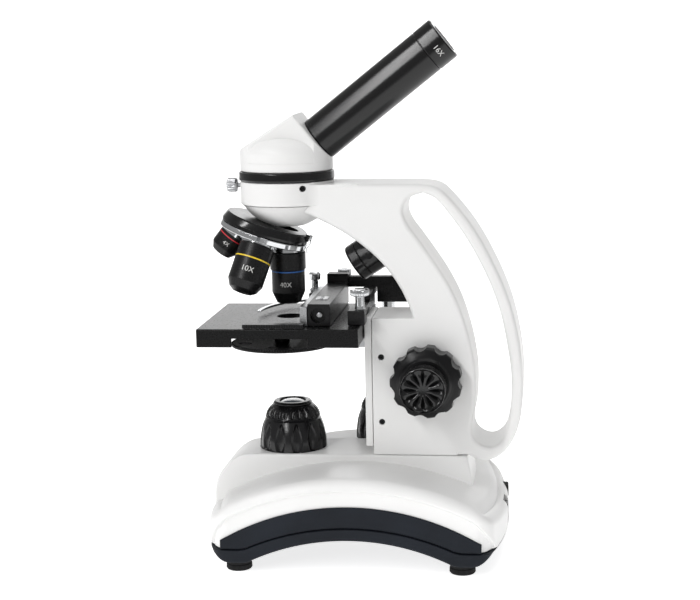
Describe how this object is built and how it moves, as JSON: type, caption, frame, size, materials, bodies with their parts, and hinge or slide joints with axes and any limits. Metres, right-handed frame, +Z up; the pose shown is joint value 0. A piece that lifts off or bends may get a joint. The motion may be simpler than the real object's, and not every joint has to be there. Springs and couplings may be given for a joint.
{
  "type": "monocular student microscope",
  "caption": "Monocular compound microscope on an arched base, with inclined eyepiece tube, revolving nosepiece, mechanical stage, coaxial focus knobs, carrying handle and two lamps.",
  "frame": {"origin": "middle of the whole object's box, on the surface that the feet stand on", "axes": "+Z up along the optical axis, +X from the front of the stage to the carrying handle, so the user who looks down the tube sits at +X, +Y across the stand to the brightness knob's side"},
  "size_m": [0.178, 0.124, 0.2983],
  "materials": {
    "white_paint": "gloss",
    "black_plastic": "satin",
    "black_metal": "satin",
    "black_anodised": "satin",
    "stage_black": "satin",
    "chrome": "polished",
    "steel": "satin",
    "brass": "satin",
    "rubber": "matte",
    "glass": "gloss",
    "circuit_board": "satin"
  },
  "bodies": {
    "stand": {"base_housing": "white_paint", "base_tray": "black_plastic", "side_trim_near": "black_plastic", "side_trim_far": "black_plastic", "foot_1": "rubber", "foot_2": "rubber", "foot_3": "rubber", "foot_4": "rubber", "rocker_bezel": "black_plastic", "power_inlet": "black_plastic", "driver_board": "circuit_board", "illuminator_housing": "black_plastic", "illuminator_cap": "black_plastic", "condenser_lens": "glass", "arm": "white_paint", "column_front_plate": "white_paint", "column_screw_upper": "black_metal", "column_screw_lower": "black_metal", "head_set_screw": "black_metal", "nosepiece_bowl": "white_paint", "nosepiece_base": "black_anodised", "click_spring": "chrome"},
    "lamp_switch": {"rocker_switch": "black_plastic"},
    "brightness_dial": {"brightness_knob": "black_plastic"},
    "stage": {"stage_plate": "stage_black", "stage_carrier": "steel", "focus_rack": "brass", "diaphragm_screw": "steel", "stage_rail": "black_anodised"},
    "coarse_drive": {"coarse_knob_near": "black_plastic", "coarse_knob_far": "black_plastic", "focus_pinion": "steel"},
    "fine_drive": {"fine_knob_near": "black_plastic", "fine_knob_far": "black_plastic", "fine_shaft": "steel"},
    "diaphragm": {"diaphragm_disc": "black_anodised"},
    "carriage": {"cross_carriage": "black_anodised"},
    "holder": {"slide_holder": "black_anodised", "holder_bar": "chrome", "holder_jaw": "chrome"},
    "finger": {"sprung_finger": "chrome"},
    "x_drive": {"x_drive_knob": "chrome"},
    "y_drive": {"y_drive_knob": "chrome"},
    "rail_screw": {"rail_thumb_screw": "chrome"},
    "nosepiece": {"turret": "chrome", "objective_40x": "black_anodised", "objective_10x": "black_anodised", "objective_4x": "black_anodised", "nosepiece_plug": "black_plastic"},
    "head": {"head_ring": "black_anodised", "head_spigot": "black_anodised", "head_housing": "white_paint", "head_prism": "glass", "eyepiece_tube": "black_anodised"},
    "eyepiece": {"eyepiece": "black_anodised", "eyepiece_lens": "glass"},
    "head_lock": {"head_lock_screw": "chrome"},
    "upper_lamp": {"lamp_body": "black_plastic", "lamp_bezel": "black_plastic", "lamp_lens": "glass"}
  },
  "joints": [
    {"name": "stage_lift", "type": "slide", "parent": "stand", "child": "stage", "axis": [0, 0, 1], "range_m": [-0.014, 0.004]},
    {"name": "coarse_focus", "type": "hinge", "parent": "stand", "child": "coarse_drive", "pos_m": [0.0362, 0, 0.1015], "axis": [0, 1, 0], "range_deg": [-235, 70]},
    {"name": "fine_focus", "type": "hinge", "parent": "stand", "child": "fine_drive", "pos_m": [0.0362, 0, 0.1015], "axis": [0, 1, 0], "range_deg": [-720, 720]},
    {"name": "diaphragm_turn", "type": "hinge", "parent": "stage", "child": "diaphragm", "pos_m": [-0.0448, -0.0214, 0.122], "axis": [0, 0, 1], "continuous": true},
    {"name": "y_travel", "type": "slide", "parent": "stage", "child": "carriage", "axis": [0, 1, 0], "range_m": [-0.012, 0.018]},
    {"name": "x_travel", "type": "slide", "parent": "carriage", "child": "holder", "axis": [1, 0, 0], "range_m": [-0.0015, 0.008]},
    {"name": "y_knob_turn", "type": "hinge", "parent": "carriage", "child": "y_drive", "pos_m": [0.007, 0.0574, 0.13], "axis": [0, 0, 1], "range_deg": [-220, 330]},
    {"name": "x_knob_turn", "type": "hinge", "parent": "carriage", "child": "x_drive", "pos_m": [-0.0193, 0.0574, 0.149], "axis": [0, 0, 1], "range_deg": [-30, 150]},
    {"name": "finger_swing", "type": "hinge", "parent": "holder", "child": "finger", "pos_m": [-0.0353, 0.0434, 0.136], "axis": [0, 0, 1], "range_deg": [-22, 0], "stiffness_Nm_per_rad": 0.05, "springref_deg": 2.86},
    {"name": "rail_screw_turn", "type": "hinge", "parent": "stage", "child": "rail_screw", "pos_m": [0.0003, -0.029, 0.15], "axis": [0, 0, 1], "range_deg": [0, 720]},
    {"name": "nosepiece_turn", "type": "hinge", "parent": "stand", "child": "nosepiece", "pos_m": [-0.0569, 0, 0.1823], "axis": [0.3256, 0, 0.9455], "continuous": true},
    {"name": "head_swivel", "type": "hinge", "parent": "stand", "child": "head", "pos_m": [-0.0433, 0, 0.212], "axis": [0, 0, 1], "continuous": true},
    {"name": "eyepiece_pull", "type": "slide", "parent": "head", "child": "eyepiece", "axis": [0.788, 0, 0.6157], "range_m": [0, 0.04]},
    {"name": "head_lock_turn", "type": "hinge", "parent": "stand", "child": "head_lock", "pos_m": [-0.0763, 0, 0.2087], "axis": [1, 0, 0], "range_deg": [0, 720]},
    {"name": "lamp_tilt", "type": "hinge", "parent": "stand", "child": "upper_lamp", "pos_m": [0.0043, 0, 0.1699], "axis": [0, 1, 0], "range_deg": [-10, 10]},
    {"name": "switch_rock", "type": "hinge", "parent": "stand", "child": "lamp_switch", "pos_m": [0.0753, 0, 0.0216], "axis": [0, 1, 0], "range_deg": [-14, 0]},
    {"name": "brightness_turn", "type": "hinge", "parent": "stand", "child": "brightness_dial", "pos_m": [0.0052, 0.0385, 0.066], "axis": [0, 0, 1], "range_deg": [0, 270]}
  ],
  "couplings": [
    {"joint": "coarse_focus", "follows": "stage_lift", "rad_per_m": 285.6},
    {"joint": "y_knob_turn", "follows": "y_travel", "rad_per_m": 312.5},
    {"joint": "x_knob_turn", "follows": "x_travel", "rad_per_m": 312.5}
  ]
}
